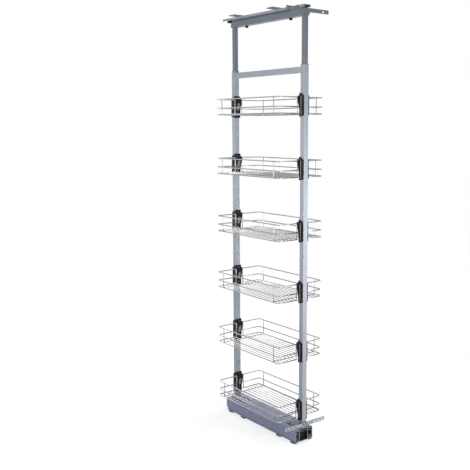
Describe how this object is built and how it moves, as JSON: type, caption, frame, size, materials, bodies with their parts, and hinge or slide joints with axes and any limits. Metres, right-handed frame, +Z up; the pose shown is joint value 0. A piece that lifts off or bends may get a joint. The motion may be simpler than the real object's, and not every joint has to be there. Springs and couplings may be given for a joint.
{
  "type": "pull out pantry frame",
  "caption": "Tall pull-out pantry frame: square uprights with hung wire baskets on a full-extension base runner, with a telescopic head and a ceiling rail.",
  "frame": {"origin": "on the floor, in the middle of the four floor screws and of the baskets", "axes": "+X across the frame to the right of a person facing its back, -Y is the way it pulls out, +Z up"},
  "size_m": [0.252, 0.588, 1.9],
  "materials": {
    "zinc_plated_steel": "bright zinc plate",
    "silver_powder_coat": "fine satin powder coat",
    "blue_grey_powder_coat": "satin powder coat",
    "dark_grey_steel": "satin powder coat",
    "black_nylon": "fine moulded grain",
    "grey_nylon": "smooth moulded",
    "black_rubber": "matt",
    "chromed_wire": "bright chrome"
  },
  "bodies": {
    "base": {"floor_plate": "zinc_plated_steel", "floor_pads": "black_rubber", "base_beam": "zinc_plated_steel", "beam_plug": "black_nylon", "outer_rail_left": "zinc_plated_steel", "outer_rail_right": "zinc_plated_steel", "rear_bumpers": "black_rubber"},
    "carriage": {"inner_rail_left": "zinc_plated_steel", "inner_rail_right": "zinc_plated_steel", "runner_cover": "blue_grey_powder_coat", "foot_front": "dark_grey_steel", "foot_rear": "dark_grey_steel", "upright_front": "silver_powder_coat", "upright_rear": "silver_powder_coat", "crossbar": "silver_powder_coat", "guide_bush_front": "grey_nylon", "guide_bush_rear": "grey_nylon", "lock_screws": "dark_grey_steel", "stop_pins": "zinc_plated_steel", "lower_door_bracket": "zinc_plated_steel", "carriage_screws": "dark_grey_steel", "holder_1_front": "black_nylon", "holder_1_rear": "black_nylon", "holder_2_front": "black_nylon", "holder_2_rear": "black_nylon", "holder_3_front": "black_nylon", "holder_3_rear": "black_nylon", "holder_4_front": "black_nylon", "holder_4_rear": "black_nylon", "holder_5_front": "black_nylon", "holder_5_rear": "black_nylon", "holder_6_front": "black_nylon", "holder_6_rear": "black_nylon", "holder_caps": "grey_nylon", "holder_screws": "zinc_plated_steel"},
    "middle_slide": {"middle_rail_left": "zinc_plated_steel", "middle_rail_right": "zinc_plated_steel"},
    "outer_cage": {"outer_ball_cages": "zinc_plated_steel"},
    "inner_cage": {"inner_ball_cages": "zinc_plated_steel"},
    "head": {"inner_tube_front": "dark_grey_steel", "inner_tube_rear": "dark_grey_steel", "tube_glides": "black_nylon", "head_channel": "dark_grey_steel", "upper_door_bracket": "dark_grey_steel", "head_fixings": "black_nylon", "top_inner_rail": "dark_grey_steel"},
    "top_middle": {"top_middle_rail": "dark_grey_steel"},
    "top_outer_cage": {"top_outer_cages": "zinc_plated_steel"},
    "top_inner_cage": {"top_inner_cages": "zinc_plated_steel"},
    "ceiling": {"ceiling_rail": "silver_powder_coat", "ceiling_plate_front": "dark_grey_steel", "ceiling_plate_rear": "dark_grey_steel", "ceiling_stop": "black_nylon"},
    "basket_1": {"basket_1": "chromed_wire"},
    "basket_2": {"basket_2": "chromed_wire"},
    "basket_3": {"basket_3": "chromed_wire"},
    "basket_4": {"basket_4": "chromed_wire"},
    "basket_5": {"basket_5": "chromed_wire"},
    "basket_6": {"basket_6": "chromed_wire"}
  },
  "joints": [
    {"name": "pull_out", "type": "slide", "parent": "base", "child": "carriage", "axis": [0, -1, 0], "range_m": [0, 0.44]},
    {"name": "middle_slide_travel", "type": "slide", "parent": "base", "child": "middle_slide", "axis": [0, -1, 0], "range_m": [0, 0.22]},
    {"name": "outer_cage_travel", "type": "slide", "parent": "base", "child": "outer_cage", "axis": [0, -1, 0], "range_m": [0, 0.11]},
    {"name": "inner_cage_travel", "type": "slide", "parent": "base", "child": "inner_cage", "axis": [0, -1, 0], "range_m": [0, 0.33]},
    {"name": "height_adjust", "type": "slide", "parent": "carriage", "child": "head", "axis": [0, 0, 1], "range_m": [0, 0.3]},
    {"name": "ceiling_stay", "type": "slide", "parent": "head", "child": "ceiling", "axis": [0, 1, 0], "range_m": [0, 0.44]},
    {"name": "top_middle_travel", "type": "slide", "parent": "head", "child": "top_middle", "axis": [0, 1, 0], "range_m": [0, 0.22]},
    {"name": "top_outer_cage_travel", "type": "slide", "parent": "head", "child": "top_outer_cage", "axis": [0, 1, 0], "range_m": [0, 0.33]},
    {"name": "top_inner_cage_travel", "type": "slide", "parent": "head", "child": "top_inner_cage", "axis": [0, 1, 0], "range_m": [0, 0.11]},
    {"name": "basket_1_lift", "type": "slide", "parent": "carriage", "child": "basket_1", "axis": [0, 0, 1], "range_m": [0, 0.06]},
    {"name": "basket_2_lift", "type": "slide", "parent": "carriage", "child": "basket_2", "axis": [0, 0, 1], "range_m": [0, 0.06]},
    {"name": "basket_3_lift", "type": "slide", "parent": "carriage", "child": "basket_3", "axis": [0, 0, 1], "range_m": [0, 0.06]},
    {"name": "basket_4_lift", "type": "slide", "parent": "carriage", "child": "basket_4", "axis": [0, 0, 1], "range_m": [0, 0.06]},
    {"name": "basket_5_lift", "type": "slide", "parent": "carriage", "child": "basket_5", "axis": [0, 0, 1], "range_m": [0, 0.06]},
    {"name": "basket_6_lift", "type": "slide", "parent": "carriage", "child": "basket_6", "axis": [0, 0, 1], "range_m": [0, 0.06]}
  ],
  "couplings": [
    {"joint": "middle_slide_travel", "follows": "pull_out", "ratio": 0.5},
    {"joint": "outer_cage_travel", "follows": "pull_out", "ratio": 0.25},
    {"joint": "inner_cage_travel", "follows": "pull_out", "ratio": 0.75},
    {"joint": "ceiling_stay", "follows": "pull_out", "ratio": 1},
    {"joint": "top_middle_travel", "follows": "pull_out", "ratio": 0.5},
    {"joint": "top_outer_cage_travel", "follows": "pull_out", "ratio": 0.75},
    {"joint": "top_inner_cage_travel", "follows": "pull_out", "ratio": 0.25}
  ]
}
